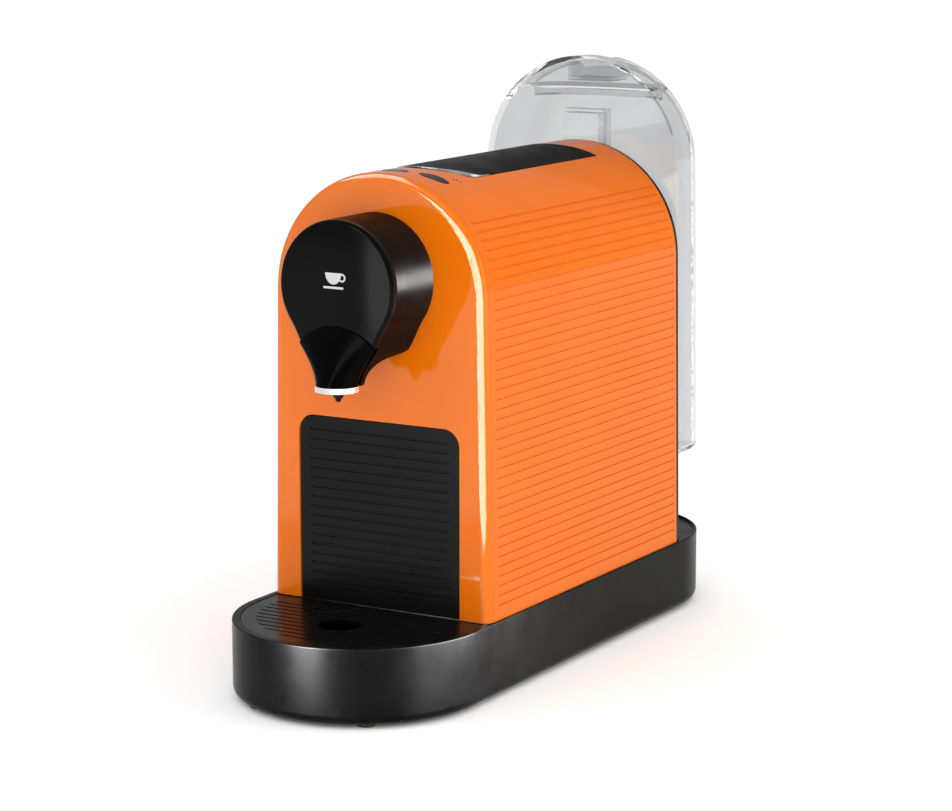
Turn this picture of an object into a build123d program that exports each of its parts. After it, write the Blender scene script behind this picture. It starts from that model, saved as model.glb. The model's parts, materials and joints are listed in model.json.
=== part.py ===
from build123d import *
import math
import os

os.makedirs("parts", exist_ok=True)

# ---------------------------------------------------------------- driving sizes (mm)
# X is right, Y is back, Z is up. The origin is under the middle, on the table.
BASE_W = 130.0          # width of the long base
BASE_CY = 114.5         # centres of the two half-round base ends
BASE_TOP = 40.0
BASE_LOW = 2.0
SPLIT_Y = -94.8         # where the tray ends and the base housing begins
FRONT_Y = -99.5         # front face of the orange body
REAR_Y = 110.4          # back of the rear cover
ARCH_R = 61.0           # rounded top of the body
ARCH_Z = 198.0
BODY_HALF = 63.6        # half width of the body at its foot
WALL = 2.5
GROOVE_Z0 = 47.7        # first side groove, and its pitch
GROOVE_PITCH = 4.9
PANEL_HALF = 47.0       # opening for the ribbed front
PANEL_TOP = 135.5
PANEL_R = 9.0
RIB_Z0 = 128.4
RIB_PITCH = 4.94
HEAD_Z = 207.5          # round brew head
HEAD_R = 32.5
HEAD_BACK = -99.6
HEAD_SEAM = -132.8
HEAD_FRONT = -138.4
NECK_Y = -136.0         # axis of the spout
NOZZLE_Y = -135.3
LEVER_HALF = 25.3
HINGE_Y = 72.0          # lever hinge axis
HINGE_Z = 249.0
HINGE_ROLL = 10.4
SECTOR_R = 27.1         # pitch radius of the toothed sector
IDLER_R = 9.0
IDLER_Z = HINGE_Z - SECTOR_R - IDLER_R
BREW_Z = 185.0          # axis of the brewing chamber
TANK_FRONT = 111.6
TANK_BACK = 150.5
TANK_R = 59.4
TANK_Z = 244.9
TANK_HALF = 62.0
TANK_LOW = 87.0
LID_Z = 286.0
VALVE_X = -25.0
VALVE_Y = 126.0
GRID_HOLE_Y = -135.0
GRID_GAP = 0.4          # between the grid and the front of the body
SCREW_X = 42
SCREW_SPOTS = [(-SCREW_X, -70), (SCREW_X, -70), (-SCREW_X, 120), (SCREW_X, 120)]
FOOT_SPOTS = [(-31, -161), (31, -161), (-54, -112), (54, -112),
              (-31, 161), (31, 161), (-54, 112), (54, 112)]


# ---------------------------------------------------------------- helpers
def box(x0, x1, y0, y1, z0, z1):
    """A block given by its limits."""
    size = Box(x1 - x0, y1 - y0, z1 - z0)
    return Pos((x0 + x1) / 2, (y0 + y1) / 2, (z0 + z1) / 2) * size


def rod_z(x, y, z0, z1, r):
    """An upright cylinder."""
    return Pos(x, y, (z0 + z1) / 2) * Cylinder(r, z1 - z0)


def rod_y(x, z, y0, y1, r):
    """A cylinder lying front to back."""
    return Pos(x, (y0 + y1) / 2, z) * Rot(90, 0, 0) * Cylinder(r, y1 - y0)


def rod_x(y, z, x0, x1, r):
    """A cylinder lying left to right."""
    return Pos((x0 + x1) / 2, y, z) * Rot(0, 90, 0) * Cylinder(r, x1 - x0)


def cone_z(x, y, z0, z1, r0, r1):
    """An upright cone, r0 below and r1 above."""
    return Pos(x, y, (z0 + z1) / 2) * Cone(r0, r1, z1 - z0)


def along_y(face, y0, y1):
    """Extrude a face drawn in X and Z from y0 to y1."""
    return extrude(Plane.XZ.offset(-y1) * face, y1 - y0)


def along_x(face, x0, x1):
    """Extrude a face drawn in Y and Z from x0 to x1."""
    return extrude(Plane.YZ.offset(x0) * face, x1 - x0)


def along_z(face, z0, z1):
    """Extrude a face drawn in X and Y from z0 to z1."""
    return extrude(Plane.XY.offset(z0) * face, z1 - z0)


def tube(points, r_out, r_in, bend=6.0):
    """A hose along straight runs with small bends."""
    path = FilletPolyline(*points, radius=bend)
    start = Plane(origin=path @ 0, z_dir=path % 0)
    outer = sweep(start * Circle(r_out), path)
    inner = sweep(start * Circle(r_in), path)
    return outer - inner


def straight_tube(p, q, r_out, r_in):
    """A hose in one straight run."""
    path = Line(p, q)
    start = Plane(origin=path @ 0, z_dir=path % 0)
    return extrude(start * (Circle(r_out) - Circle(r_in)), path.length)


def arch(half_low, z_low, z_mid, radius):
    """An arch outline whose leaning sides run tangent into the round top."""
    drop = z_low - z_mid
    reach = math.hypot(half_low, drop)
    turn = math.atan2(drop, half_low) + math.acos(radius / reach)
    tx = radius * math.cos(turn)
    tz = z_mid + radius * math.sin(turn)
    top = ThreePointArc((tx, tz), (0, z_mid + radius), (-tx, tz))
    left = Line((-tx, tz), (-half_low, z_low))
    foot = Line((-half_low, z_low), (half_low, z_low))
    right = Line((half_low, z_low), (tx, tz))
    return make_face([top, left, foot, right])


def body_arch(inset, z_low):
    """Section of the body, drawn in by an even inset."""
    half = BODY_HALF + (BASE_TOP - z_low) * 0.0165 - inset
    return arch(half, z_low, ARCH_Z, ARCH_R - inset)


def stadium(inset):
    """Plan of the base, drawn in by an even inset."""
    return SlotCenterToCenter(2 * BASE_CY, BASE_W - 2 * inset, rotation=90)


# ---------------------------------------------------------------- base
def base_outer():
    """The whole base block with a rounded lower edge."""
    block = along_z(stadium(0), BASE_LOW, BASE_TOP)
    low = block.edges().group_by(Axis.Z)[0]
    block = fillet(low, 4.5)
    high = block.edges().group_by(Axis.Z)[-1]
    return fillet(high, 0.5)


def base_housing():
    """Long hollow rear base with a sunk deck inside a thin rim."""
    body = base_outer() & box(-70, 70, SPLIT_Y + 0.2, 190, 0, 60)
    room = along_z(stadium(WALL), 8.0, 36.3) & box(-70, 70, -92.3, 190, 0, 60)
    body -= room
    body -= along_z(stadium(4.7), 0, 8.1)
    body -= along_z(stadium(1.2), 38.8, 41) & box(-70, 70, -200, 190, 0, 60)
    for x, y in SCREW_SPOTS:
        body += rod_z(x, y, 5.2, 36.5, 4.5) - rod_z(x, y, 5.0, 15.0, 1.6)
    body -= rod_y(0, 20.0, 170, 185, 6.0)
    return body


def base_plate():
    """Flat bottom plate under the whole length of the base."""
    plate = along_z(stadium(5.0), 1.6, 5.0)
    for x, y in SCREW_SPOTS:
        plate -= rod_z(x, y, 0, 8, 1.7)
        plate -= rod_z(x, y, 1.0, 3.4, 3.4)
    return plate


def feet():
    """Eight low rubber pads."""
    pads = [rod_z(x, y, 0.0, 1.6, 4.5) for x, y in FOOT_SPOTS]
    return Compound(children=pads)


def screws():
    """Four countersunk screws that hold the bottom plate."""
    items = []
    for x, y in SCREW_SPOTS:
        head = rod_z(x, y, 2.4, 3.4, 3.2) - box(x - 2.4, x + 2.4, y - 0.4, y + 0.4, 2.3, 2.9)
        items.append(head + rod_z(x, y, 3.3, 13.0, 1.55))
    return Compound(children=items)


def cord_gland():
    """Rubber bush in the rear wall of the base, where a cord would come in."""
    bush = rod_y(0, 20.0, 171.0, 178.6, 5.9) + rod_y(0, 20.0, 171.0, 175.0, 9.0)
    return bush - rod_y(0, 20.0, 168, 185, 3.5)


# ---------------------------------------------------------------- drip tray and grid
def drip_tray():
    """Half-round front of the base: a basin with a ledge for the grid."""
    tray = base_outer() & box(-70, 70, -190, SPLIT_Y, 0, 60)
    keep = box(-70, 70, -190, -98.0, 0, 60)
    tray -= along_z(stadium(WALL), 7.5, 34.0) & keep
    tray -= along_z(stadium(6.5), 33.9, 37.1) & keep
    tray -= along_z(stadium(4.0), 37.0, 41.0) & keep
    tray -= along_z(stadium(4.7), 0, 5.2)
    return tray


def drip_grid():
    """Plate with ten rows of slots and a round hole under the spout."""
    front = box(-70, 70, -190, FRONT_Y - GRID_GAP, 0, 60)
    plate = along_z(stadium(4.3), 37.05, 39.75) & front
    field = Pos(0, -114.6) * Circle(53.0)
    clear = Pos(0, GRID_HOLE_Y) * Circle(17.0)
    slots = []
    for row in range(10):
        y = -112.9 - 5.83 * row
        line = Pos(0, y) * Rectangle(108, 1.5)
        slots.append(along_z((line & field) - clear, 36, 41))
    plate -= slots
    plate -= rod_z(0, GRID_HOLE_Y, 36, 41, 11.0)
    return plate


# ---------------------------------------------------------------- capsule bin
def capsule_bin():
    """Open box behind the ribbed front that catches used capsules."""
    outer = box(-44, 44, -96.6, -24, BASE_TOP, 126)
    return outer - box(-42, 42, -94.6, -26, BASE_TOP + 2, 130)


def panel_outline(half, z_low, z_high, radius):
    """Rectangle with two rounded upper corners, drawn in X and Z."""
    mid = (z_low + z_high) / 2
    face = Pos(0, mid) * Rectangle(2 * half, z_high - z_low)
    corners = face.vertices().group_by(Axis.Y)[-1]
    return fillet(corners, radius)


def bin_front():
    """Ribbed black front of the capsule bin."""
    face = panel_outline(PANEL_HALF - 0.45, BASE_TOP + 0.3, PANEL_TOP - 0.45, PANEL_R - 0.4)
    plate = along_y(face, -98.7, -96.6)
    grooves = []
    for row in range(17):
        z = RIB_Z0 - RIB_PITCH * row
        mark = Pos(0, z) * SlotOverall(81.2, 1.15)
        grooves.append(along_y(mark, -99.5, -98.1))
    return plate - grooves


# ---------------------------------------------------------------- body shells
def front_frame():
    """Orange front of the body with a rounded outer edge."""
    solid = along_y(body_arch(0, BASE_TOP + 0.2), FRONT_Y, SPLIT_Y + 0.1)
    rim = solid.edges().group_by(Axis.Y)[0].filter_by(lambda e: e.center().Z > BASE_TOP + 1)
    solid = fillet(rim, 4.5)
    solid -= along_y(body_arch(WALL + 0.1, BASE_TOP - 5), -97.0, -90)
    hole = panel_outline(PANEL_HALF, BASE_TOP - 5, PANEL_TOP, PANEL_R)
    solid -= along_y(hole, -101, -90)
    return solid - rod_y(0, BREW_Z, -101, -90, 5.0)


def groove_tools():
    """Thin round-ended cutters for the side grooves, on both sides."""
    spots = []
    lean = math.atan2(2.6, 158.0)
    z = GROOVE_Z0
    while z < ARCH_Z:
        x = ARCH_R + (ARCH_Z - z) * 2.6 / 158.0
        spots.append((x, z, lean))
        z += GROOVE_PITCH
    turn = (z - ARCH_Z) / ARCH_R
    while turn < math.radians(42):
        spots.append((ARCH_R * math.cos(turn), ARCH_Z + ARCH_R * math.sin(turn), turn))
        turn += GROOVE_PITCH / ARCH_R
    tools = []
    for x, z, turn in spots:
        for side in (-1, 1):
            out = (side * math.cos(turn), 0, math.sin(turn))
            origin = (side * x, 7.2, z)
            plane = Plane(origin=origin, x_dir=(0, 1, 0), z_dir=out).offset(-0.55)
            tools.append(extrude(plane * SlotOverall(193.6, 1.1), 1.2))
    return tools


def lever_plan(half, gap, back):
    """Plan of the lever: a rounded prow in front and straight sides."""
    nose = Spline((-half, -34.5 - gap), (-19 - gap * 0.3, -50.5 - gap), (-12, -59 - gap),
                  (0, -65 - gap), (12, -59 - gap), (19 + gap * 0.3, -50.5 - gap),
                  (half, -34.5 - gap), tangents=[(0, -1), (0, 1)])
    right = Line((half, -34.5 - gap), (half, back))
    rear = Line((half, back), (-half, back))
    left = Line((-half, back), (-half, -34.5 - gap))
    return make_face([nose, right, rear, left])


def roll_trim(radius):
    """What lies behind and outside the rolled rear end of the lever."""
    block = box(-40, 40, HINGE_Y, HINGE_Y + 40, HINGE_Z - 20, HINGE_Z + 30)
    return block - rod_x(HINGE_Y, HINGE_Z, -41, 41, radius)


def arch_band(r0, r1, y0, y1):
    """Part of a tube round the axis of the arch, upper half only."""
    ring = rod_y(0, ARCH_Z, y0, y1, r1) - rod_y(0, ARCH_Z, y0 - 1, y1 + 1, r0)
    return ring & box(-70, 70, y0, y1, ARCH_Z, ARCH_Z + 80)


BUTTON_SPOTS = [(-19.3, -77.0, -20.0), (0.0, -82.5, 0.0), (19.3, -77.0, 20.0)]


def button_plan(spot, grow):
    """Oval plan of one button."""
    x, y, turn = spot
    return Pos(x, y) * Rot(0, 0, turn) * Ellipse(7.2 + grow, 4.3 + grow)


def arch_shell():
    """Orange side and top shell with fine grooves and the top openings."""
    y0 = SPLIT_Y + 0.35
    shell = along_y(body_arch(0, 38.9), y0, 107.2)
    shell -= along_y(body_arch(WALL, 30), y0 - 1, 108)
    shell -= groove_tools()
    hole = along_z(lever_plan(LEVER_HALF + 0.45, 4.5, 95), 240, 270)
    shell -= hole - roll_trim(HINGE_ROLL + 0.4)
    for spot in BUTTON_SPOTS:
        shell -= along_z(button_plan(spot, 0.35), 240, 270)
    return shell - along_z(lens_plan(0.1), 240, 270)


def lens_plan(grow):
    """Small slanted slot of the indicator lamp."""
    return Pos(25.2, -64.6) * Rot(0, 0, 35) * SlotOverall(4.4 + grow, 1.5 + grow)


def indicator_lens():
    """Light pipe that fills the small slot."""
    lens = along_z(lens_plan(0), 246.0, 262) & rod_y(0, ARCH_Z, -80, -50, ARCH_R - 0.05)
    return lens


def rear_cover():
    """Dark back plate of the body with the rail that guides the water tank."""
    plate = along_y(body_arch(0.35, 38.9), 107.4, REAR_Y)
    plate += box(-9.5, 9.5, REAR_Y - 0.1, 119.0, 92, 250)
    plate -= rod_y(VALVE_X, 60, 100, 115, 3.9)
    for x, z in COVER_SCREWS:
        plate -= rod_y(x, z, 108.9, 112, 3.2)
        plate -= rod_y(x, z, 107, 112, 1.7)
    return plate


COVER_SCREWS = [(-40, 70), (40, 70), (-36, 215), (36, 215)]


def cover_screws():
    """Four screws in the rear cover."""
    items = []
    for x, z in COVER_SCREWS:
        slot = box(x - 2.2, x + 2.2, 109.7, 111, z - 0.4, z + 0.4)
        items.append(rod_y(x, z, 108.9, 110.2, 3.0) + rod_y(x, z, 97.0, 109, 1.6) - slot)
    return Compound(children=items)


# ---------------------------------------------------------------- brew head
def drop_outline(inset):
    """Round head that flares down into the spout, drawn in X and Z."""
    r = HEAD_R - inset
    turn = math.radians(35)
    ex = r * math.cos(turn)
    ez = HEAD_Z - r * math.sin(turn)
    foot = 11.2 - inset
    low = 159.6
    round_top = ThreePointArc((ex, ez), (0, HEAD_Z + r), (-ex, ez))
    slope = (-math.sin(turn), -math.cos(turn))
    right = Spline((ex, ez), (19.6 - inset, 175.6), (foot, low), tangents=[slope, (-0.12, -1)])
    left = Spline((-foot, low), (-19.6 + inset, 175.6), (-ex, ez),
                  tangents=[(-0.12, 1), (-math.sin(turn), math.cos(turn))])
    base = Line((foot, low), (-foot, low))
    return make_face([round_top, right, base, left])


def head_drum():
    """Black drum behind the covers, with the underside swept up to the body."""
    drum = along_y(drop_outline(0), HEAD_SEAM, HEAD_BACK)
    sweep_line = Spline((-129.4, 158.0), (-128.8, 163.0), (-126.3, 167.6), (-119.4, 170.8),
                        (-106.7, 172.0), (-99.0, 173.5))
    ends = [Line((-99.0, 173.5), (-99.0, 150.0)), Line((-99.0, 150.0), (-129.4, 150.0)),
            Line((-129.4, 150.0), (-129.4, 158.0))]
    drum -= along_x(make_face([sweep_line] + ends), -40, 40)
    drum -= rod_y(0, HEAD_Z, HEAD_SEAM - 1, -102.0, HEAD_R - WALL)
    drum -= box(-5, 5, HEAD_SEAM - 1, -123.6, 169.9, 190)
    drum -= box(-5, 5, HEAD_SEAM - 1, -131.5, 150, 171)
    return drum - rod_y(0, BREW_Z, -104, -98, 5.0)


def cover_block():
    """Slightly domed cover in the outline of the head."""
    block = along_y(drop_outline(0), HEAD_FRONT, HEAD_SEAM - 0.2)
    block &= Pos(0, HEAD_FRONT + 320, HEAD_Z) * Sphere(320)
    rim = block.edges().filter_by(lambda e: e.center().Y < HEAD_SEAM - 2.2)
    rim = rim.filter_by(lambda e: e.center().Z > 161)
    return fillet(rim, 1.9)


SEAM_R = 28.8
SEAM_Z = 159.8


def head_cover():
    """Round glossy front cover of the head."""
    cover = cover_block() - rod_y(0, SEAM_Z, -160, -120, SEAM_R)
    cover -= rod_y(0, HEAD_Z, -136.2, -132, 24.0)
    return cover - emblem_block(-138.0)


def spout_sections():
    """Half widths, depths and heights of the spout from the ring upward."""
    return [(159.6, 10.6, 10.4), (164.0, 12.2, 8.6), (170.0, 15.6, 6.2),
            (177.0, 20.4, 4.0), (184.0, 25.2, 2.7), (191.0, 29.0, 2.1)]


def spout_cover():
    """Lower cover that swells forward into the round spout."""
    rings = []
    for z, half, deep in spout_sections():
        rings.append(Pos(0, NECK_Y, z) * Ellipse(half, deep))
    swell = loft(rings)
    swell &= box(-40, 40, -160, HEAD_SEAM - 0.2, 150, 200)
    swell &= rod_y(0, SEAM_Z, -160, -120, SEAM_R - 0.25)
    return swell - box(-6.5, 6.5, -139.5, -132, 159, 176)


def spout_plan(r):
    """Round plan of the spout end, flat where it meets the drum."""
    return (Pos(0, NECK_Y) * Circle(r)) & (Pos(0, -151.0) * Rectangle(40, 36))


def spout_ring():
    """Bright ring round the lower end of the spout."""
    ring = along_z(spout_plan(11.0), 156.7, 159.5)
    return ring - along_z(Pos(0, NECK_Y) * Circle(9.4), 150, 160)


def nozzle():
    """Black tapered nozzle with its mounting plate."""
    part = along_z(Pos(0, NECK_Y) * Circle(9.2), 157.3, 159.5)
    part &= box(-20, 20, -160, HEAD_SEAM - 0.3, 150, 165)
    part += cone_z(0, NOZZLE_Y, 153.2, 157.4, 2.3, 4.0)
    part += cone_z(0, NOZZLE_Y, 151.4, 153.3, 1.3, 1.7)
    return part - rod_z(0, NOZZLE_Y, 150, 160, 1.0)


def emblem_block(y_back):
    """Plain little cup sign."""
    bowl = Pos(0, 214.6) * Ellipse(4.6, 5.6)
    bowl &= Pos(0, 210.6) * Rectangle(12, 8)
    ear = Pos(4.9, 212.4) * (Circle(2.1) - Circle(1.2))
    ear -= bowl
    plate = Pos(0, 207.4) * SlotOverall(11.5, 1.1)
    sign = bowl + ear
    return along_y(sign, HEAD_FRONT - 0.4, y_back) + along_y(plate, HEAD_FRONT - 0.4, y_back)


def emblem():
    """Bright cup sign on the front cover."""
    return Compound(children=list(emblem_block(-138.0).solids()))


def outlet_pipe():
    """Coffee pipe from the brewing chamber to the nozzle."""
    points = [(0, -84.0, BREW_Z), (0, -127.5, BREW_Z), (0, -127.5, 173.0),
              (0, NOZZLE_Y, 173.0), (0, NOZZLE_Y, 159.6)]
    return tube(points, 2.6, 1.4, 3.5)


# ---------------------------------------------------------------- chassis and brewing unit
def chassis_frame():
    """Inner frame: floor, bulkhead, shelf, side webs and rear wall."""
    frame = box(-54, 54, -20, 101, 38.9, 41.9)
    frame += box(-51, 51, -18, -15, 41.8, 140)
    frame += box(-51, 51, -92, 4, 137, 140)
    for x in (-51, 48):
        frame += box(x, x + 3, -92, -15, 44, 138)
    frame += box(-54, 54, 98, 101, 41.8, 240)
    frame &= along_y(body_arch(4.0, 30), -110, 105)
    frame -= box(-21, 21, -66, -30, 130, 145)
    frame -= box(-7, 7, 97, 102, 194, 207)
    frame -= rod_y(VALVE_X, 60, 90, 105, 4.2)
    for x, z in COVER_SCREWS:
        frame -= rod_y(x, z, 95, 105, 1.6)
    return frame


def brew_housing():
    """Cage of the brewing chamber, with a way in above and a way out below."""
    cage = box(-29, 29, -84, 0, 140, 234)
    for x in (-29, 29):
        cage -= Pos(x, -42, 234) * Rot(0, 45, 0) * Box(14, 100, 14)
    cage -= rod_y(0, BREW_Z, -72, 1, 19.0)
    cage -= box(-20, 20, -66, -30, 139, 240)
    return cage - rod_y(0, BREW_Z, -90, -70, 2.7)


def pierce_plate():
    """Steel plate with small outlet holes in front of the chamber."""
    plate = rod_y(0, BREW_Z, -72, -69.6, 18.9)
    for i in range(12):
        turn = i * math.pi / 6
        plate -= rod_y(9 * math.cos(turn), BREW_Z + 9 * math.sin(turn), -75, -68, 1.0)
    return plate


def capsule_chute():
    """Short funnel that leads a used capsule down into the bin."""
    outer = box(-23, 23, -68, -28, 128, 136.9)
    return outer - box(-21, 21, -66, -30, 120, 140)


def brew_piston():
    """Piston that presses the capsule against the plate."""
    head = rod_y(0, BREW_Z, -44, 0, 18.5)
    head -= rod_y(0, BREW_Z, -36, -6, 12.0)
    tail = box(-8, 8, 0, 6, BREW_Z - 12, 203.7)
    return head + tail


def piston_gasket():
    """Soft ring on the face of the piston."""
    return rod_y(0, BREW_Z, -45.2, -44, 17.0) - rod_y(0, BREW_Z, -47, -43, 12.5)


def piston_rack():
    """Toothed bar that draws the piston back."""
    bar = box(-4, 4, 6, 82, 197.5, IDLER_Z - IDLER_R - 0.15)
    for i in range(20):
        y = 42 + i * 2.0
        bar -= box(-5, 5, y - 0.45, y + 0.45, IDLER_Z - IDLER_R - 1.5, IDLER_Z)
    return bar


def notched_disc(y, z, radius, x0, x1, count):
    """Disc with a ring of shallow tooth gaps."""
    disc = rod_x(y, z, x0, x1, radius)
    for i in range(count):
        turn = 2 * math.pi * i / count
        cy = y + radius * math.cos(turn)
        cz = z + radius * math.sin(turn)
        disc -= Pos(0, cy, cz) * Rot(math.degrees(turn), 0, 0) * Box(20, 2.4, 0.9)
    return disc


def idler_gear():
    """Small gear between the sector of the lever and the rack."""
    gear = notched_disc(HINGE_Y, IDLER_Z, IDLER_R - 0.15, -3, 3, 28)
    gear += rod_x(HINGE_Y, IDLER_Z, -11, 11, 4.0)
    return gear - rod_x(HINGE_Y, IDLER_Z, -12, 12, 2.08)


def gear_bracket():
    """Two cheeks that carry the lever pin and the idler pin."""
    swing = rod_x(HINGE_Y, HINGE_Z, -20, 20, HINGE_ROLL + 0.5)
    swing -= rod_x(HINGE_Y, HINGE_Z, -20, 20, 5.4)
    swing &= box(-20, 20, HINGE_Y, 90, 243, 262)
    parts = []
    for x in (-15, 12):
        cheek = box(x, x + 3, 62, 98, 203, 253)
        cheek &= along_y(body_arch(6.0, 40), 50, 110)
        cheek -= rod_x(HINGE_Y, HINGE_Z, -20, 20, 2.0)
        cheek -= rod_x(HINGE_Y, IDLER_Z, -20, 20, 2.0)
        cheek -= swing
        parts.append(cheek)
    bridge = box(-15, 15, 94, 98, 222, 250)
    return parts[0] + parts[1] + bridge


def gear_pins():
    """Steel pins of the lever and of the idler gear."""
    pins = [rod_x(HINGE_Y, HINGE_Z, -15, 15, 2.0), rod_x(HINGE_Y, IDLER_Z, -15, 15, 2.0)]
    return Compound(children=pins)


# ---------------------------------------------------------------- lever
def lever_skin():
    """Curved plate of the lever before it is split into panel and trim."""
    skin = arch_band(58.8, ARCH_R + 0.3, -75, 95)
    return skin - roll_trim(HINGE_ROLL)


def lever_panel():
    """Black top panel of the lever."""
    plan = lever_plan(LEVER_HALF, 0, 95) & (Pos(0, 1.7) * lever_plan(LEVER_HALF, 0, 95))
    return lever_skin() & along_z(plan, 240, 270)


def lever_trim():
    """Bright strip along the front edge of the lever."""
    plan = lever_plan(LEVER_HALF, 0, 95) - (Pos(0, 1.7) * lever_plan(LEVER_HALF, 0, 99))
    strip = arch_band(58.8, ARCH_R + 0.3, -75, 0) & along_z(plan, 235, 270)
    return strip.solids().sort_by(SortBy.VOLUME)[-1]


def lever_frame():
    """Ribs, hub and toothed sector under the lever panel."""
    arms = box(-11, -6, -48, HINGE_Y, 250.5, 262) + box(6, 11, -48, HINGE_Y, 250.5, 262)
    arms += box(-11, 11, -50, -45, 250.5, 262)
    arms &= rod_y(0, ARCH_Z, -60, 90, 58.8)
    arms += rod_x(HINGE_Y, HINGE_Z, -11, 11, 5.0)
    wedge = Polyline((0, 0), (-5.5, -32), (25, -26), (0, 0))
    sector = notched_disc(HINGE_Y, HINGE_Z, SECTOR_R - 0.15, -3, 3, 84)
    sector &= along_x(Pos(HINGE_Y, HINGE_Z) * make_face(wedge), -3, 3)
    arms += sector
    return arms - rod_x(HINGE_Y, HINGE_Z, -12, 12, 2.08)


# ---------------------------------------------------------------- buttons
def top_frame():
    """Black inner deck under the shell, open for the capsule and the lever."""
    deck = arch_band(56.2, 58.4, -93, 60)
    deck &= box(-36, 36, -93, 60, 240, 262)
    deck -= box(-22, 22, -66.5, 61, 230, 265)
    for spot in BUTTON_SPOTS:
        deck -= along_z(button_plan(spot, 0.35), 230, 265)
    return deck - along_z(lens_plan(0.1), 230, 265)


def button(spot):
    """One oval push button with its stem."""
    x, y, _ = spot
    cap = along_z(button_plan(spot, 0), 249.0, 262)
    cap &= rod_y(0, ARCH_Z, -100, -60, ARCH_R + 0.15)
    return cap + rod_z(x, y, 246.2, 249.5, 1.5)


def switch_board():
    """Small board with a switch under each button."""
    board = box(-28, 28, -90, -70, 242.6, 244.2)
    for x, y, _ in BUTTON_SPOTS:
        board += box(x - 3, x + 3, y - 3, y + 3, 244.1, 244.5)
        board += rod_z(x, y, 244.4, 244.8, 1.7)
    return board


# ---------------------------------------------------------------- water side
def tank_solid(inset):
    """Filled shape of the tank, drawn in by an even inset."""
    face = arch(TANK_HALF - inset, TANK_LOW + inset, TANK_Z, TANK_R - inset)
    block = along_y(face, TANK_FRONT + inset, TANK_BACK - inset)
    rear = block.edges().group_by(Axis.Y)[-1]
    rear = rear.filter_by(lambda e: e.center().Z > TANK_LOW + 5)
    block = fillet(rear, 22.0 - inset)
    low = block.edges().group_by(Axis.Z)[0]
    return fillet(low, max(4.5 - inset, 1.0))


def valve_seat():
    """Bush in the floor of the tank that the valve closes against."""
    bush = rod_z(VALVE_X, VALVE_Y, 85.2, 92.0, 8.0) + rod_z(VALVE_X, VALVE_Y, 89.5, 91.5, 10.0)
    return bush - rod_z(VALVE_X, VALVE_Y, 80, 95, 5.0)


def valve_poppet():
    """Small valve body, lifted by a pin when the tank stands on its dock."""
    stem = rod_z(VALVE_X, VALVE_Y, 86.2, 92.4, 2.2)
    return stem + rod_z(VALVE_X, VALVE_Y, 92.3, 94.6, 6.6)


def tank_body():
    """Clear water tank with a guide channel in its front wall."""
    tank = tank_solid(0) - tank_solid(WALL)
    tank += box(-12.5, 12.5, TANK_FRONT, 123.2, TANK_LOW, 275)
    tank -= box(-10.5, 10.5, 105, 121.2, 80, 273)
    tank &= box(-80, 80, 100, 170, 80, LID_Z)
    return tank - rod_z(VALVE_X, VALVE_Y, 80, 95, 8.1)


def tank_lid():
    """Clear lid with a skirt and a square grip pocket."""
    cap = tank_solid(0) - tank_solid(WALL)
    cap &= box(-80, 80, 100, 170, LID_Z + 0.25, 320)
    pocket_wall = tank_solid(0) & box(-13.5, 13.5, 121, 141, 290, 320)
    cap += pocket_wall
    cap -= box(-12, 12, 122.5, 139.5, 291.5, 320)
    flange = tank_solid(1.0) & box(-80, 80, 100, 170, LID_Z + 0.25, LID_Z + 1.5)
    slab = tank_solid(WALL + 0.5) & box(-80, 80, 100, 170, LID_Z - 0.5, LID_Z + 0.8)
    mouth = slab.faces().sort_by(Axis.Z)[-1]
    skirt = extrude(mouth, amount=5.6, dir=(0, 0, -1))
    hollow = tank_solid(WALL + 2.3) & box(-80, 80, 100, 170, LID_Z - 0.5, LID_Z + 0.8)
    inner = extrude(hollow.faces().sort_by(Axis.Z)[-1], amount=9, dir=(0, 0, -1))
    return cap + (skirt + flange - inner)


def tank_dock():
    """Pillar behind the body that the tank stands on."""
    pillar = box(-36, 36, REAR_Y + 0.1, 137, 38.9, 85.0)
    rear = pillar.edges().filter_by(Axis.Z).group_by(Axis.Y)[-1]
    pillar = fillet(rear, 8.0)
    pillar -= box(-33, 33, 114, 134, 38, 76)
    pillar -= rod_z(VALVE_X, VALVE_Y, 79, 90, 8.6)
    pillar += rod_z(VALVE_X, VALVE_Y, 70, 80, 6.0)
    pillar -= rod_z(VALVE_X, VALVE_Y, 60, 90, 3.4)
    pillar += rod_z(VALVE_X, VALVE_Y, 76, 86.0, 1.2)
    pillar += box(VALVE_X - 4, VALVE_X + 4, VALVE_Y - 0.6, VALVE_Y + 0.6, 76, 79)
    pillar -= rod_y(VALVE_X, 60, 105, 118, 3.9)
    return pillar


def dock_seal():
    """Rubber ring in the dock round the valve of the tank."""
    return rod_z(VALVE_X, VALVE_Y, 79.0, 84.8, 8.5) - rod_z(VALVE_X, VALVE_Y, 78, 86, 6.4)


def flow_meter():
    """Round housing of the flow meter."""
    can = rod_z(VALVE_X, 78, 52, 68, 13.0) - rod_z(VALVE_X, 78, 54, 66, 11.0)
    can += rod_z(VALVE_X, 78, 53.5, 57, 1.4)
    can += rod_y(VALVE_X, 60, 90.0, 93.0, 3.0)
    can += rod_y(VALVE_X, 60, 63.0, 66.0, 3.0)
    return can - rod_y(VALVE_X, 60, 62, 94, 1.5)


def flow_rotor():
    """Small paddle wheel inside the flow meter."""
    hub = rod_z(VALVE_X, 78, 57.5, 64, 3.0)
    for i in range(4):
        hub += Pos(VALVE_X, 78, 61) * Rot(0, 0, 45 * i) * Box(20, 1.4, 5.0)
    return hub


def pump_body():
    """Slim tube of the pump with an inlet and an outlet nipple."""
    body = rod_z(VALVE_X, 30, 72, 150, 12.0)
    body += rod_z(VALVE_X, 30, 67, 73, 3.0) + rod_z(VALVE_X, 30, 149, 155, 3.0)
    body -= rod_z(VALVE_X, 30, 84, 136, 6.4)
    return body - rod_z(VALVE_X, 30, 60, 160, 1.5)


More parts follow.
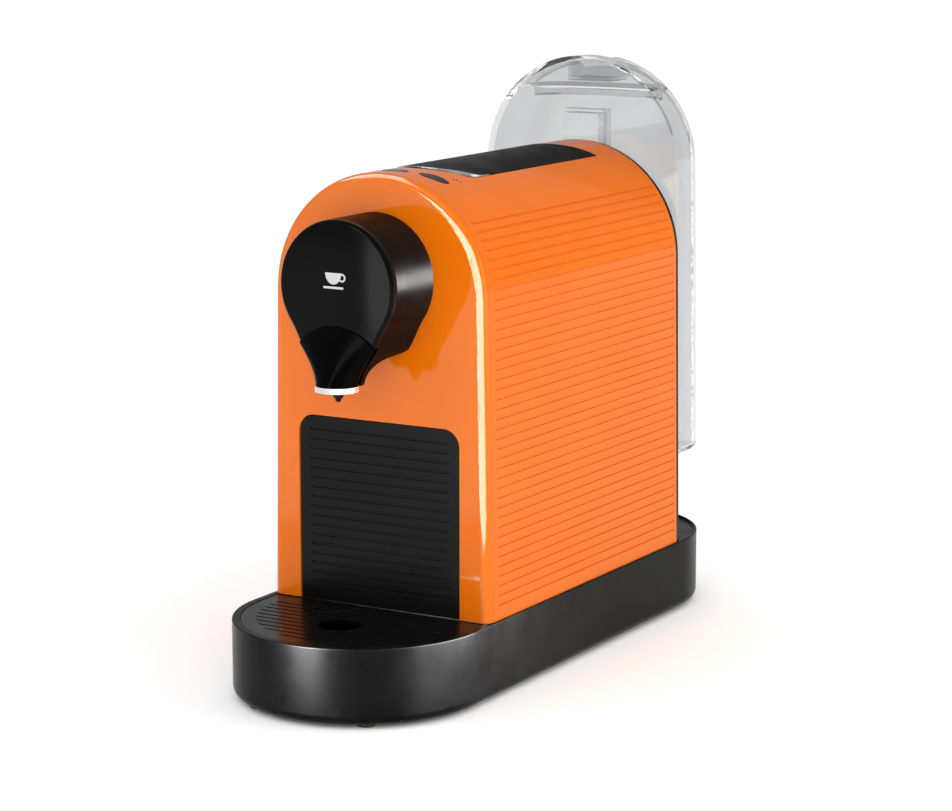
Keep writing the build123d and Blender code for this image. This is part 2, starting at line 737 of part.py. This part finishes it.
def pump_coil():
    """Copper winding round the pump."""
    return rod_z(VALVE_X, 30, 92, 128, 19.0) - rod_z(VALVE_X, 30, 90, 130, 12.0)


def pump_plunger():
    """Steel plunger that swings up and down in the pump."""
    return rod_z(VALVE_X, 30, 96, 124, 6.0) - rod_z(VALVE_X, 30, 95, 125, 2.0)


def pump_mounts():
    """Two soft clamps that hold the pump to the bulkhead."""
    items = []
    for z in (76, 128.4):
        clamp = rod_z(VALVE_X, 30, z, z + 8, 16.0) + box(-33, -17, -15, 20, z, z + 8)
        items.append(clamp - rod_z(VALVE_X, 30, z - 1, z + 9, 12.0))
    return Compound(children=items)


def heater():
    """Cast water heater with a coiled rib round it."""
    block = rod_z(26, 30, 62, 150, 18.0)
    for i in range(9):
        block += rod_z(26, 30, 68 + i * 9, 72 + i * 9, 20.0)
    block += rod_z(26, 30, 149, 155, 3.0) + rod_z(26, 16, 149, 155, 3.0)
    block -= rod_z(26, 30, 66, 160, 1.5)
    return block - rod_z(26, 16, 140, 160, 1.5)


def heater_clamps():
    """Two steel straps that hold the heater to the bulkhead."""
    items = []
    for z in (72.3, 126.3):
        strap = rod_z(26, 30, z, z + 4.4, 20.5) + box(18, 34, -15, 14, z, z + 4.4)
        strap -= rod_z(26, 30, z - 1, z + 6, 18.0)
        items.append(strap)
    return Compound(children=items)


def water_hoses():
    """Soft hoses: dock to flow meter and flow meter to pump."""
    first = straight_tube((VALVE_X, 114.0, 60), (VALVE_X, 91.1, 60), 3.6, 3.0)
    second = tube([(VALVE_X, 64.9, 60), (VALVE_X, 30, 60), (VALVE_X, 30, 71.9)], 3.6, 3.0)
    return Compound(children=[first, second])


def pressure_pipes():
    """Pressure pipes: pump to heater and heater to brewing chamber."""
    first = tube([(VALVE_X, 30, 150.1), (VALVE_X, 30, 166), (26, 30, 166), (26, 30, 150.1)],
                 4.0, 3.0)
    second = tube([(26, 16, 150.1), (26, 16, 172), (26, 0.1, 172)], 4.0, 3.0)
    return Compound(children=[first, second])


def circuit_board():
    """Power board with its standoffs on the rear wall."""
    board = box(-42, 42, 92, 93.6, 92, 186)
    for x in (-38, 38):
        for z in (96, 182):
            board += rod_y(x, z, 93.5, 98, 2.5)
    return board


def board_parts():
    """Relays, capacitors and plugs on the board."""
    items = [box(-34, -14, 76, 92, 160, 176), box(-8, 10, 80, 92, 160, 174),
             box(-36, -10, 84, 92, 98, 108), box(14, 38, 82, 92, 98, 112),
             box(16, 34, 78, 92, 166, 182)]
    for x in (-26, -6, 14):
        items.append(rod_y(x, 134, 74, 92, 7.0))
    return Compound(children=items)


# ---------------------------------------------------------------- output
PARTS = {
    "base_plate": base_plate, "feet": feet, "base_screws": screws,
    "base_housing": base_housing, "cord_gland": cord_gland,
    "drip_tray": drip_tray, "drip_grid": drip_grid,
    "capsule_bin": capsule_bin, "bin_front": bin_front,
    "front_frame": front_frame, "arch_shell": arch_shell,
    "indicator_lens": indicator_lens, "rear_cover": rear_cover,
    "cover_screws": cover_screws,
    "head_drum": head_drum, "head_cover": head_cover, "spout_cover": spout_cover,
    "spout_ring": spout_ring, "nozzle": nozzle, "emblem": emblem,
    "outlet_pipe": outlet_pipe, "chassis_frame": chassis_frame,
    "brew_housing": brew_housing, "pierce_plate": pierce_plate,
    "capsule_chute": capsule_chute, "brew_piston": brew_piston,
    "piston_gasket": piston_gasket, "piston_rack": piston_rack,
    "idler_gear": idler_gear, "gear_bracket": gear_bracket, "gear_pins": gear_pins,
    "lever_panel": lever_panel, "lever_trim": lever_trim, "lever_frame": lever_frame,
    "top_frame": top_frame, "switch_board": switch_board,
    "tank_body": tank_body, "tank_lid": tank_lid, "valve_seat": valve_seat,
    "valve_poppet": valve_poppet, "tank_dock": tank_dock, "dock_seal": dock_seal,
    "flow_meter": flow_meter, "flow_rotor": flow_rotor,
    "pump_body": pump_body, "pump_coil": pump_coil, "pump_plunger": pump_plunger,
    "pump_mounts": pump_mounts, "heater": heater, "heater_clamps": heater_clamps,
    "water_hoses": water_hoses, "pressure_pipes": pressure_pipes,
    "circuit_board": circuit_board, "board_parts": board_parts,
}


def main():
    """Build every piece and write it to its own file."""
    for name, make in PARTS.items():
        export_step(make(), "parts/" + name + ".step")
    for name, spot in zip(("button_left", "button_middle", "button_right"), BUTTON_SPOTS):
        export_step(button(spot), "parts/" + name + ".step")


main()
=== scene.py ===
import json
import math

import bpy
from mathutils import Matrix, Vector

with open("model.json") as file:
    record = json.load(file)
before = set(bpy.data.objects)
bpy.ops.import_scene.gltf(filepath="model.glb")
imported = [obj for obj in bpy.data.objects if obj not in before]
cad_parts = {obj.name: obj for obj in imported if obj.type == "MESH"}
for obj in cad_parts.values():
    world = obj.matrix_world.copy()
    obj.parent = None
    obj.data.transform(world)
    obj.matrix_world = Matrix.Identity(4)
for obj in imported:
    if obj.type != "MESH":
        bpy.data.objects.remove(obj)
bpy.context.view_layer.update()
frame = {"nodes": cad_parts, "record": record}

MM = 0.001

# how finely the shader rounds edges, and how wide the lighter edges are, partly rubbed wear
# and partly painted highlight (metres)
SOFT_EDGE_SAMPLES = 6
EDGE_MASK_SAMPLES = 4
WORN_AND_LIT_EDGE = 0.0007


# ---------------------------------------------------------------- node helpers
def new_material(name):
    """An empty node material with a shader and an output."""
    mat = bpy.data.materials.new(name)
    mat.use_nodes = True
    tree = mat.node_tree
    tree.nodes.clear()
    out = tree.nodes.new("ShaderNodeOutputMaterial")
    bsdf = tree.nodes.new("ShaderNodeBsdfPrincipled")
    tree.links.new(bsdf.outputs["BSDF"], out.inputs["Surface"])
    return mat, tree, bsdf


def noise(tree, scale, detail=3.0, rough=0.5, stretch=(1, 1, 1)):
    """A noise field in object space, with an optional stretch along the axes."""
    coord = tree.nodes.new("ShaderNodeTexCoord")
    mapping = tree.nodes.new("ShaderNodeMapping")
    mapping.inputs["Scale"].default_value = stretch
    tex = tree.nodes.new("ShaderNodeTexNoise")
    tex.inputs["Scale"].default_value = scale
    tex.inputs["Detail"].default_value = detail
    tex.inputs["Roughness"].default_value = rough
    tree.links.new(coord.outputs["Object"], mapping.inputs["Vector"])
    tree.links.new(mapping.outputs["Vector"], tex.inputs["Vector"])
    return tex.outputs["Fac"]


def spread(tree, field, low, high, start=0.3, end=0.7):
    """Map a field to a range of numbers."""
    node = tree.nodes.new("ShaderNodeMapRange")
    node.inputs["From Min"].default_value = start
    node.inputs["From Max"].default_value = end
    node.inputs["To Min"].default_value = low
    node.inputs["To Max"].default_value = high
    tree.links.new(field, node.inputs["Value"])
    return node.outputs["Result"]


def blend_colors(tree, factor, first, second):
    """Mix two colours, or a colour field and a colour, by a factor field."""
    node = tree.nodes.new("ShaderNodeMix")
    node.data_type = "RGBA"
    tree.links.new(factor, node.inputs["Factor"])
    for socket, value in ((node.inputs["A"], first), (node.inputs["B"], second)):
        if isinstance(value, tuple):
            socket.default_value = (*value, 1.0)
        else:
            tree.links.new(value, socket)
    return node.outputs["Result"]


def rounded_normal(tree, radius, samples):
    """The surface normal as if every edge had a small radius."""
    bevel = tree.nodes.new("ShaderNodeBevel")
    bevel.samples = samples
    bevel.inputs["Radius"].default_value = radius
    return bevel.outputs["Normal"]


def bump(tree, bsdf, fields, soften=0.0):
    """Chain bumps, each given as (height field, strength, distance in metres).

    With soften, the bumps start from edges that look rounded by that radius.
    """
    last = rounded_normal(tree, soften, SOFT_EDGE_SAMPLES) if soften > 0.0 else None
    for height, strength, distance in fields:
        node = tree.nodes.new("ShaderNodeBump")
        node.inputs["Strength"].default_value = strength
        node.inputs["Distance"].default_value = distance
        tree.links.new(height, node.inputs["Height"])
        if last is not None:
            tree.links.new(last, node.inputs["Normal"])
        last = node.outputs["Normal"]
    tree.links.new(last, bsdf.inputs["Normal"])


def edge_mask(tree, width):
    """Near 1 on sharp outer edges and 0 on open faces."""
    rounded = rounded_normal(tree, width, EDGE_MASK_SAMPLES)
    geo = tree.nodes.new("ShaderNodeNewGeometry")
    dot = tree.nodes.new("ShaderNodeVectorMath")
    dot.operation = "DOT_PRODUCT"
    tree.links.new(rounded, dot.inputs[0])
    tree.links.new(geo.outputs["Normal"], dot.inputs[1])
    return spread(tree, dot.outputs["Value"], 1.0, 0.0, 0.80, 0.985)


# ---------------------------------------------------------------- materials
def plastic(name, color, rough, grain, specular=0.5, wear_and_highlight=0.25, tint=0.12, soften=0.0):
    """Moulded plastic: faint cloudiness, smudged gloss, fine grain, and edges painted lighter,
    partly as rubbed wear and partly as a painted highlight.
    """
    mat, tree, bsdf = new_material(name)
    cloud = noise(tree, 22.0, 4.0)
    dark = tuple(c * (1.0 - tint) for c in color)
    light = tuple(min(1.0, c * (1.0 + tint) + 0.002) for c in color)
    body = blend_colors(tree, spread(tree, cloud, 0.0, 1.0), dark, light)
    # lighter colour on the edges: partly rubbed wear, partly a painted highlight along the
    # edges
    worn_and_lit = tuple(min(1.0, c * 1.25 + 0.02) for c in color)
    edges = edge_mask(tree, WORN_AND_LIT_EDGE)
    patch = noise(tree, 160.0, 2.0)
    rubbed_and_lit = tree.nodes.new("ShaderNodeMath")
    rubbed_and_lit.operation = "MULTIPLY"
    tree.links.new(edges, rubbed_and_lit.inputs[0])
    tree.links.new(spread(tree, patch, 0.0, wear_and_highlight, 0.45, 0.7), rubbed_and_lit.inputs[1])
    body = blend_colors(tree, rubbed_and_lit.outputs["Value"], body, worn_and_lit)
    tree.links.new(body, bsdf.inputs["Base Color"])
    smudge = noise(tree, 35.0, 5.0, 0.6)
    tree.links.new(spread(tree, smudge, rough * 0.82, rough * 1.25), bsdf.inputs["Roughness"])
    fine = noise(tree, grain, 2.0)
    wave = noise(tree, 60.0, 1.0)
    bump(tree, bsdf, [(fine, 0.10 + rough * 0.5, 0.00003), (wave, 0.05, 0.00006)], soften)
    bsdf.inputs["Specular IOR Level"].default_value = specular
    return mat


def metal(name, color, rough, stretch=(1, 1, 1), grain=900.0):
    """Bright or brushed metal with a faint stain and scratches along one way."""
    mat, tree, bsdf = new_material(name)
    stain = noise(tree, 40.0, 4.0)
    dull = tuple(c * 0.86 for c in color)
    tree.links.new(blend_colors(tree, spread(tree, stain, 0.0, 1.0), dull, color),
                   bsdf.inputs["Base Color"])
    lines = noise(tree, grain, 2.0, 0.6, stretch)
    tree.links.new(spread(tree, lines, rough * 0.7, rough * 1.5), bsdf.inputs["Roughness"])
    bump(tree, bsdf, [(lines, 0.12, 0.00002)])
    bsdf.inputs["Metallic"].default_value = 1.0
    return mat


def clear_plastic(name):
    """Clear polished plastic with faint flow marks and fine scratches, tinted grey as painted
    shade for the darker look of its walls.
    """
    mat, tree, bsdf = new_material(name)
    shade_tint_field = noise(tree, 18.0, 3.0, 0.5, (1, 1, 0.35))
    # the grey base colour is painted shade that darkens the clear tank; the noise only varies
    # it a little
    tree.links.new(blend_colors(tree, spread(tree, shade_tint_field, 0.0, 1.0),
                                (0.72, 0.725, 0.73), (0.78, 0.785, 0.79)),
                   bsdf.inputs["Base Color"])
    marks = noise(tree, 240.0, 3.0, 0.6)
    tree.links.new(spread(tree, marks, 0.0, 0.03, 0.4, 0.8), bsdf.inputs["Roughness"])
    flow = noise(tree, 14.0, 2.0, 0.4, (1, 1, 0.3))
    bump(tree, bsdf, [(flow, 0.18, 0.0008)])
    bsdf.inputs["Transmission Weight"].default_value = 1.0
    bsdf.inputs["IOR"].default_value = 1.06
    bsdf.inputs["Coat Weight"].default_value = 0.9
    bsdf.inputs["Coat Roughness"].default_value = 0.03
    return mat


def rubber(name, color, rough=0.7):
    """Soft rubber or silicone with a dusty, pitted skin."""
    mat, tree, bsdf = new_material(name)
    dust = noise(tree, 90.0, 4.0)
    pale = tuple(min(1.0, c * 1.5 + 0.02) for c in color)
    tree.links.new(blend_colors(tree, spread(tree, dust, 0.0, 0.6), color, pale),
                   bsdf.inputs["Base Color"])
    tree.links.new(spread(tree, dust, rough * 0.85, rough * 1.15), bsdf.inputs["Roughness"])
    bump(tree, bsdf, [(noise(tree, 1400.0, 2.0), 0.3, 0.00004)])
    return mat


def winding(name):
    """Enamelled copper wire, wound round an upright axis."""
    mat, tree, bsdf = new_material(name)
    coord = tree.nodes.new("ShaderNodeTexCoord")
    wave = tree.nodes.new("ShaderNodeTexWave")
    wave.bands_direction = "Z"
    wave.inputs["Scale"].default_value = 260.0
    wave.inputs["Distortion"].default_value = 0.6
    tree.links.new(coord.outputs["Object"], wave.inputs["Vector"])
    field = wave.outputs["Fac"]
    tree.links.new(blend_colors(tree, field, (0.30, 0.10, 0.035), (0.72, 0.30, 0.12)),
                   bsdf.inputs["Base Color"])
    tree.links.new(spread(tree, field, 0.25, 0.45, 0.0, 1.0), bsdf.inputs["Roughness"])
    bump(tree, bsdf, [(field, 0.6, 0.0002)])
    bsdf.inputs["Metallic"].default_value = 0.8
    return mat


def board_material(name):
    """Green circuit board with faint copper tracks under the lacquer."""
    mat, tree, bsdf = new_material(name)
    coord = tree.nodes.new("ShaderNodeTexCoord")
    cells = tree.nodes.new("ShaderNodeTexVoronoi")
    cells.distance = "MANHATTAN"
    cells.feature = "DISTANCE_TO_EDGE"
    cells.inputs["Scale"].default_value = 130.0
    tree.links.new(coord.outputs["Object"], cells.inputs["Vector"])
    tracks = spread(tree, cells.outputs["Distance"], 1.0, 0.0, 0.02, 0.09)
    tree.links.new(blend_colors(tree, tracks, (0.012, 0.085, 0.035), (0.03, 0.17, 0.07)),
                   bsdf.inputs["Base Color"])
    tree.links.new(spread(tree, tracks, 0.42, 0.28, 0.0, 1.0), bsdf.inputs["Roughness"])
    bump(tree, bsdf, [(tracks, 0.3, 0.00005)])
    return mat


ORANGE = (0.74, 0.150, 0.002)
DEEP_BLACK = (0.0015, 0.0015, 0.0015)
SOFT_BLACK = (0.004, 0.004, 0.004)
ORANGE_SKIN = {"rough": 0.06, "grain": 900.0, "tint": 0.03, "wear_and_highlight": 0.15}

# one material for every material slot of the record
MATERIALS = {
    "orange_shell": plastic("orange_shell", ORANGE, specular=0.20, **ORANGE_SKIN),
    "black_gloss": plastic("black_gloss", DEEP_BLACK, 0.12, 900.0, specular=0.08),
    # here the edge lightening is turned up to paint highlights along the lips of the grooves
    # and slots
    "black_satin": plastic("black_satin", SOFT_BLACK, 0.26, 1500.0, specular=0.14,
                           wear_and_highlight=0.6, soften=0.0004),
    "base_plastic": plastic("base_plastic", (0.003, 0.003, 0.003), 0.28, 1200.0,
                            specular=0.05, soften=0.0006),
    "lever_plastic": plastic("lever_plastic", SOFT_BLACK, 0.4, 1800.0, specular=0.04),
    "inner_plastic": plastic("inner_plastic", (0.03, 0.03, 0.032), 0.5, 1300.0),
    "grey_plastic": plastic("grey_plastic", (0.32, 0.32, 0.33), 0.45, 1300.0, tint=0.08),
    "components": plastic("components", (0.05, 0.05, 0.06), 0.4, 1000.0),
    "lens": plastic("lens", (0.006, 0.003, 0.003), 0.2, 900.0),
    "clear_plastic": clear_plastic("clear_plastic"),
    "chrome": metal("chrome", (0.72, 0.72, 0.73), 0.14),
    "steel": metal("steel", (0.62, 0.62, 0.63), 0.28, stretch=(1, 0.08, 1)),
    "aluminium": metal("aluminium", (0.66, 0.66, 0.67), 0.42, grain=500.0),
    "copper": winding("copper"),
    "rubber": rubber("rubber", (0.012, 0.012, 0.012)),
    "silicone": rubber("silicone", (0.55, 0.54, 0.50), 0.45),
    "board": board_material("board"),
}

# nodes that look a little different from the rest of their slot: less shine on the
# arch, the drum and the spout, and a lever strip whose metal colour is darkened as painted
# shade for its dark reflections
FINISHES = {
    "arch_shell": plastic("arch_orange", ORANGE, specular=0.12, **ORANGE_SKIN),
    "head_drum": plastic("drum_black", DEEP_BLACK, 0.30, 900.0, specular=0.02),
    "spout_cover": plastic("spout_black", DEEP_BLACK, 0.12, 900.0, specular=0.025),
    # the trim's darker metal colour is painted shade standing in for the dark reflections
    # along it
    "lever_trim": metal("trim_chrome", (0.30, 0.30, 0.31), 0.2),
}


def dress_cad():
    """Give every CAD node the material of its slot, or its own finish."""
    for part in frame["record"]["subparts"]:
        node = frame["nodes"][part["node"]]
        node.data.materials.clear()
        usual = MATERIALS[part["material_slot"]]
        node.data.materials.append(FINISHES.get(part["node"], usual))


dress_cad()


# ---------------------------------------------------------------- stage
FLOOR_HALF = 8.0


def floor_material():
    """Pale seamless paper."""
    mat, tree, bsdf = new_material("paper")
    field = noise(tree, 6.0, 5.0)
    tree.links.new(blend_colors(tree, spread(tree, field, 0.0, 1.0),
                                (0.925, 0.925, 0.925), (0.935, 0.935, 0.935)),
                   bsdf.inputs["Base Color"])
    tree.links.new(spread(tree, field, 0.85, 0.95), bsdf.inputs["Roughness"])
    bsdf.inputs["Specular IOR Level"].default_value = 0.1
    return mat


def add_floor():
    """A wide pale floor under the feet."""
    half = FLOOR_HALF
    corners = [(-half, -half, 0), (half, -half, 0), (half, half, 0), (-half, half, 0)]
    mesh = bpy.data.meshes.new("floor")
    mesh.from_pydata(corners, [], [(0, 1, 2, 3)])
    mesh.update()
    obj = bpy.data.objects.new("floor", mesh)
    bpy.context.scene.collection.objects.link(obj)
    obj.data.materials.append(floor_material())
    return obj


def add_world(strength):
    """Even white surroundings."""
    world = bpy.data.worlds.new("studio")
    bpy.context.scene.world = world
    world.use_nodes = True
    back = world.node_tree.nodes["Background"]
    back.inputs["Color"].default_value = (1.0, 1.0, 1.0, 1.0)
    back.inputs["Strength"].default_value = strength


# ---------------------------------------------------------------- lamps
LAMP_CLEARANCE = 0.003


def in_slots(*slots):
    """The CAD nodes whose material slot is one of these."""
    return [frame["nodes"][part["node"]] for part in frame["record"]["subparts"]
            if part["material_slot"] in slots]


def group(name, objects):
    """A collection of objects that a lamp lights, or that cast its shadows."""
    members = bpy.data.collections.new(name)
    for obj in objects:
        members.objects.link(obj)
    return members


def add_softbox(name, lit, place, aim, size, radiance, color=(1.0, 1.0, 1.0),
                gloss_only=False, blockers=None):
    """A soft lamp at one place that faces another and lights the members of one group.

    With gloss_only it shows only as a highlight. With blockers, only they cast its shadows.
    """
    width, height = size
    data = bpy.data.lights.new(name, "AREA")
    data.shape = "RECTANGLE"
    data.size = width
    data.size_y = height
    data.color = color
    data.energy = radiance * math.pi * width * height
    lamp = bpy.data.objects.new(name, data)
    bpy.context.scene.collection.objects.link(lamp)
    lamp.location = place
    lamp.rotation_mode = "QUATERNION"
    lamp.rotation_quaternion = (Vector(aim) - Vector(place)).to_track_quat("-Z", "Y")
    lamp.visible_camera = False
    lamp.visible_diffuse = not gloss_only
    lamp.visible_transmission = False
    lamp.light_linking.receiver_collection = lit
    if blockers is not None:
        lamp.light_linking.blocker_collection = blockers


def add_upright(name, lit, middle, azimuth, distance, size, radiance, sunk=0.0, **more):
    """A softbox that stands on the floor, or sunk into it, round a middle point."""
    turn = math.radians(azimuth)
    height = size[1] / 2 + LAMP_CLEARANCE - sunk
    place = (middle[0] + distance * math.sin(turn),
             middle[1] - distance * math.cos(turn), height)
    add_softbox(name, lit, place, (middle[0], middle[1], height), size, radiance, **more)


def add_sun(strength, spread_angle, lit):
    """Wide overhead light, so that shadows stay faint."""
    data = bpy.data.lights.new("overhead", "SUN")
    data.energy = strength
    data.angle = math.radians(spread_angle)
    lamp = bpy.data.objects.new("overhead", data)
    bpy.context.scene.collection.objects.link(lamp)
    lamp.light_linking.receiver_collection = lit


# middles that the upright lamps stand round (X, Y in metres), and a warm white
BODY = (0.0, -0.05)
BASE = (0.0, -0.1145)
TANK = (0.0, 0.13)
WARM = (1.0, 0.92, 0.72)

floor = add_floor()
black = in_slots("base_plastic", "black_satin", "black_gloss", "lever_plastic")
others = [obj for obj in frame["nodes"].values() if obj not in black]
coloured = group("coloured", others + [floor])
orange = group("orange", in_slots("orange_shell"))
base_parts = group("base_parts", in_slots("base_plastic"))
black_parts = group("black_parts", black)
drum = group("drum", [frame["nodes"]["head_drum"]])
tank_parts = group("tank_parts", in_slots("clear_plastic"))
cad_nodes = group("not_floor", list(frame["nodes"].values()))

add_world(0.55)
add_sun(1.9, 130.0, group("sunlit", [floor]))

# broad light on everything that isn't black
add_upright("key", coloured, BODY, azimuth=25, distance=1.3, size=(1.3, 0.8), radiance=2.25)
add_upright("side_fill", coloured, BODY, azimuth=100, distance=1.1, size=(0.8, 0.7),
            radiance=2.6, color=WARM)

# highlights on the front edge, the front, the base and the other black parts
add_upright("edge_gloss", orange, BODY, azimuth=22, distance=0.42, size=(0.6, 0.9),
            radiance=40.0, sunk=0.4, color=WARM, gloss_only=True, blockers=orange)
add_upright("front_gloss", orange, BODY, azimuth=-30.3, distance=0.42, size=(0.7, 0.8),
            radiance=1.5, sunk=0.35, gloss_only=True, blockers=cad_nodes)
add_upright("base_gloss_front", base_parts, BASE, azimuth=-10.4, distance=0.254,
            size=(0.10, 0.25), radiance=330.0, gloss_only=True)
add_upright("base_gloss_side", base_parts, BASE, azimuth=101.6, distance=0.22,
            size=(0.24, 0.25), radiance=110.0, gloss_only=True)
add_upright("black_front", black_parts, BODY, azimuth=-17, distance=0.6, size=(0.08, 0.5),
            radiance=4.5, gloss_only=True)
add_upright("black_side", black_parts, BODY, azimuth=106, distance=0.7, size=(0.2, 0.5),
            radiance=1.5, gloss_only=True)

# highlights on the top of the arch, the side of the drum and the tank
add_softbox("arch_gloss", orange, place=(-0.30, -0.16, 0.78), aim=(0.0, -0.05, 0.27),
            size=(0.5, 0.5), radiance=15.0, gloss_only=True)
add_softbox("drum_gloss", drum, place=(0.30, 0.32, 0.20), aim=(0.0375, -0.105, 0.2075),
            size=(0.25, 0.12), radiance=62.0, gloss_only=True, blockers=drum)
for side in (-1, 1):
    add_upright("tank_gloss", tank_parts, TANK, azimuth=85 * side, distance=0.5,
                size=(0.5, 0.6), radiance=2.5, gloss_only=True)
add_softbox("tank_top", tank_parts, place=(0.0, 0.25, 0.95), aim=(0.0, 0.13, 0.25),
            size=(0.9, 0.6), radiance=5.0, gloss_only=True)

# a soft fill from above on everything that isn't black, the floor left out
add_softbox("top_fill", group("above", others), place=(0.0, -0.45, 1.1),
            aim=(0.0, -0.05, 0.25), size=(0.9, 0.5), radiance=2.2)


# ---------------------------------------------------------------- camera
AZIMUTH = math.radians(30.3)
ELEVATION = math.radians(10.54)
DISTANCE = 1482.6 * MM
TARGET = Vector((21.3, -39.5, 136.0)) * MM
LENS = 110.0
SENSOR = 36.0
NEAREST = 0.05
FARTHEST = 60.0


def add_camera():
    """Camera a little to the right of the front, slightly above."""
    data = bpy.data.cameras.new("camera")
    data.sensor_width = SENSOR
    data.lens = LENS
    data.clip_start = NEAREST
    data.clip_end = FARTHEST
    camera = bpy.data.objects.new("camera", data)
    bpy.context.scene.collection.objects.link(camera)
    back = Vector((math.sin(AZIMUTH) * math.cos(ELEVATION),
                   -math.cos(AZIMUTH) * math.cos(ELEVATION), math.sin(ELEVATION)))
    camera.location = TARGET + back * DISTANCE
    camera.rotation_mode = "QUATERNION"
    camera.rotation_quaternion = back.to_track_quat("Z", "Y")
    bpy.context.scene.camera = camera


bpy.context.scene.view_settings.view_transform = "Standard"
add_camera()
